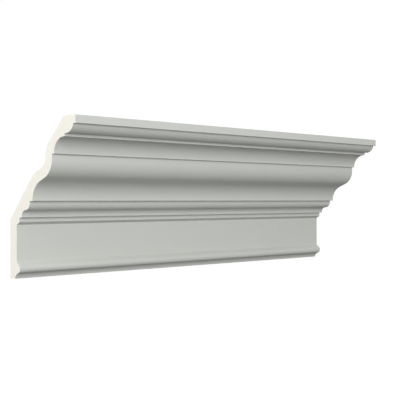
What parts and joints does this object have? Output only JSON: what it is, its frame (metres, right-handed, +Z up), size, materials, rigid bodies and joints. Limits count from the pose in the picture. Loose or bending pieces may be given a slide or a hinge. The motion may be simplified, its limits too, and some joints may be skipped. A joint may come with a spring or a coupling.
{
  "type": "crown moulding",
  "caption": "Run of foam crown moulding: a cyma cornice stepped out over a plain frieze band with a bead at its foot, cut square at both ends.",
  "frame": {"origin": "middle of the flat back that bears on the wall", "axes": "+X along the moulding, +Y out of the back into the wall, +Z up to the ceiling; the moulded face looks towards -Y"},
  "size_m": [0.803, 0.1781, 0.2595],
  "materials": {
    "primed_foam": "rigid foam with a matt light grey primer on its face, bare cream foam on its back and cut ends"
  },
  "bodies": {
    "root": {"crown_moulding": "primed_foam"}
  },
  "joints": []
}
